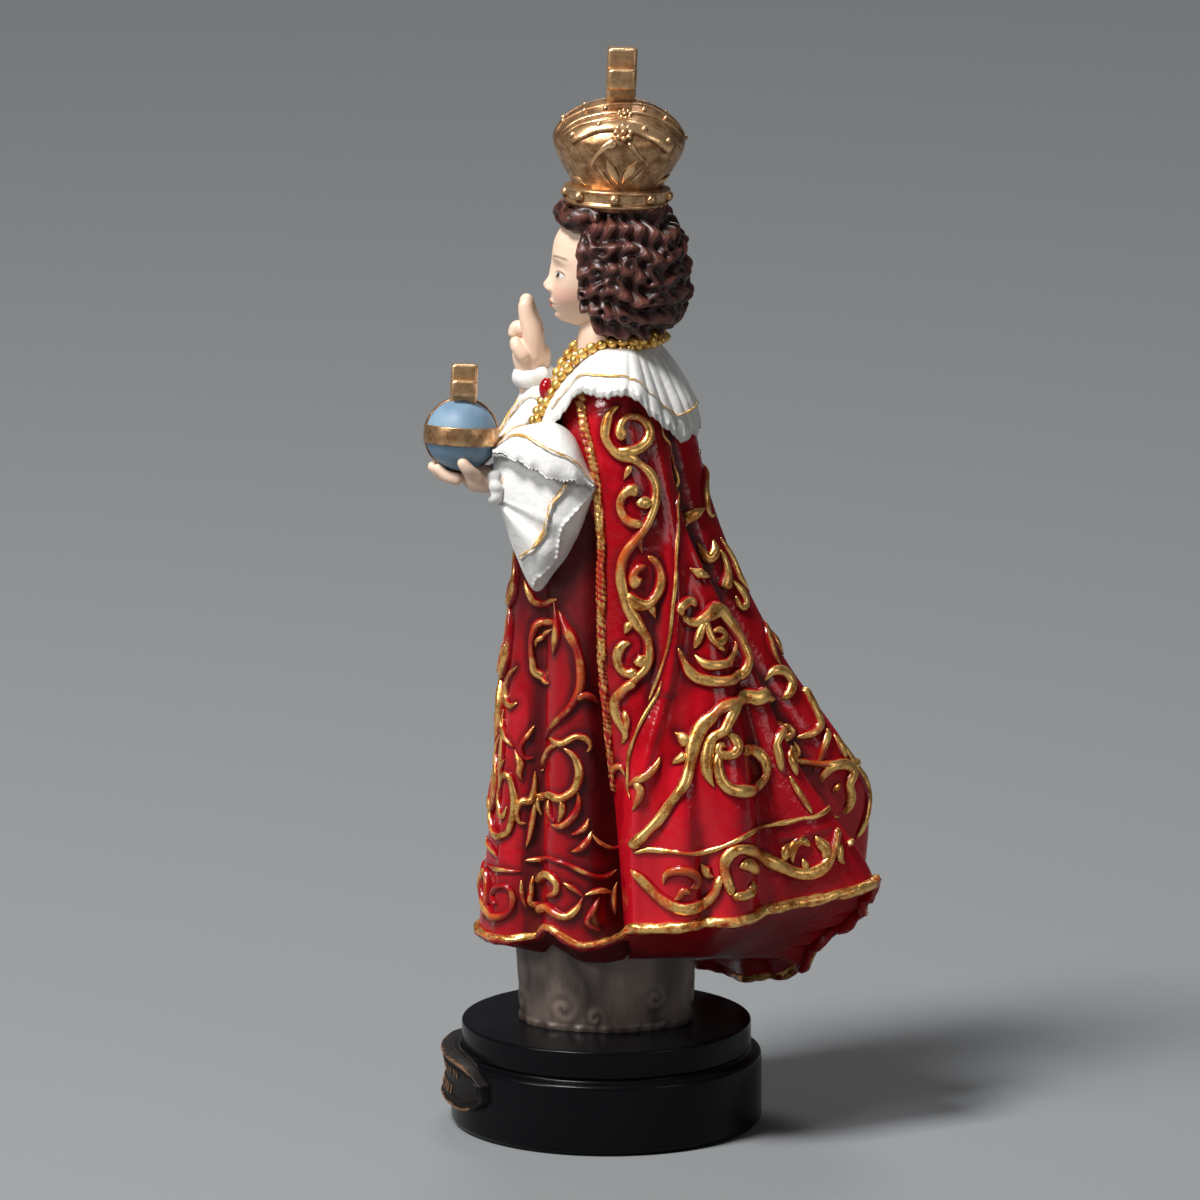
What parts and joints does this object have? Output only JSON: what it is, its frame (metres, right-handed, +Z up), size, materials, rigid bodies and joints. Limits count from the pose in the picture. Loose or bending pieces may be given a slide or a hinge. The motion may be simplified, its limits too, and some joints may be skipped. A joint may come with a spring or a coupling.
{
  "type": "religious statuette",
  "caption": "Crowned child figure in a dress and flared cape, holding an orb and raising a hand in blessing, on a stepped round base with a label plate.",
  "frame": {"origin": "centre of the base's flat underside", "axes": "+Z up, -Y the way the figure faces, +X towards the figure's left hand"},
  "size_m": [0.0595, 0.0831, 0.2029],
  "materials": {
    "red_lacquer": "glossy painted resin",
    "gold_paint": "metallic gold paint",
    "white_paint": "satin pearl paint",
    "skin_paint": "satin paint",
    "hair_paint": "satin paint",
    "orb_blue": "satin paint",
    "cloud_grey": "matt paint with a brown wash",
    "black_base": "semi-gloss black paint",
    "plaque_bronze": "antique bronze paint"
  },
  "bodies": {
    "root": {"figure": "red_lacquer", "base": "black_base"}
  },
  "joints": []
}
